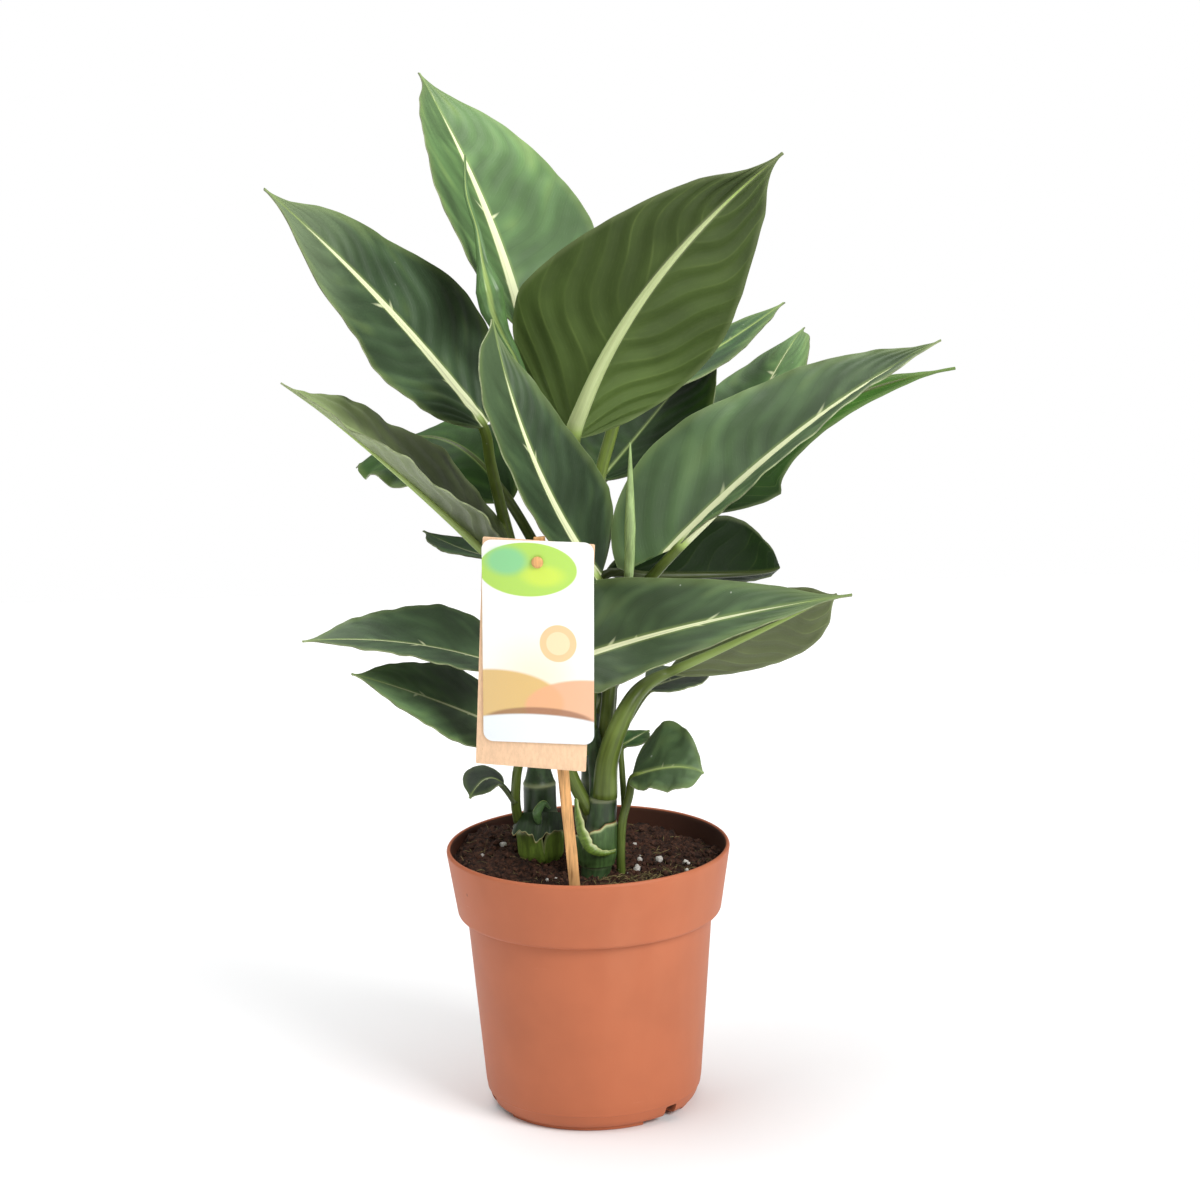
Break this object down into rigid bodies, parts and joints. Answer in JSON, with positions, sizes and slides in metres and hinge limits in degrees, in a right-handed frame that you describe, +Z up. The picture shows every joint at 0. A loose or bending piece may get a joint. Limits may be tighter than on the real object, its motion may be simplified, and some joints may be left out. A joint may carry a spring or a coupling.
{
  "type": "potted dieffenbachia",
  "caption": "Dieffenbachia house plant with broad pointed leaves on petioles and canes, in peat soil in a round tapered nursery pot, with a blank plant label on a stick.",
  "frame": {"origin": "on the pot's axis at the level of the surface it stands on, on the flat pad under the pot's floor", "axes": "+Z up; -Y to the front, where the label is; +X to the right as seen from the front"},
  "size_m": [0.2825, 0.1891, 0.4316],
  "materials": {
    "pot": "terracotta-coloured moulded plastic, soft satin",
    "soil": null,
    "cane": "smooth green stem, slightly waxy",
    "leaf": "dark green leaf with a cream midrib, satin",
    "young_leaf": "pale yellow-green rolled leaf, satin",
    "sheath": "dry-edged leaf base, matt",
    "front_card": null,
    "back_card": "kraft card, matt",
    "stick": "plain split wood, unvarnished"
  },
  "bodies": {
    "root": {"cane_right": "cane", "cane_left": "cane", "cane_back": "cane", "leaf_top": "leaf", "leaf_upper_right": "leaf", "leaf_upper_left": "leaf", "leaf_front": "leaf", "leaf_large_right": "leaf", "leaf_under_large": "leaf", "leaf_lower_right": "leaf", "leaf_lower_right_back": "leaf", "leaf_low_left": "leaf", "leaf_lowest_left": "leaf", "leaf_folded_left": "leaf", "leaf_behind_folded": "leaf", "leaf_back_slim": "leaf", "leaf_back_right": "leaf", "leaf_far_right": "leaf", "leaf_middle": "leaf", "leaf_small_left": "leaf", "leaf_foot_right": "leaf", "leaf_foot_tiny": "leaf", "leaf_small_back": "leaf", "leaf_foot_left": "leaf", "spear_top": "young_leaf", "spear_right": "young_leaf", "shoot_foot": "young_leaf", "sheath_left": "sheath", "sheath_right": "sheath", "pot": "pot", "label_stick": "stick", "label_card": "front_card", "label_back": "back_card", "label_peg": "stick", "soil": "soil"}
  },
  "joints": []
}
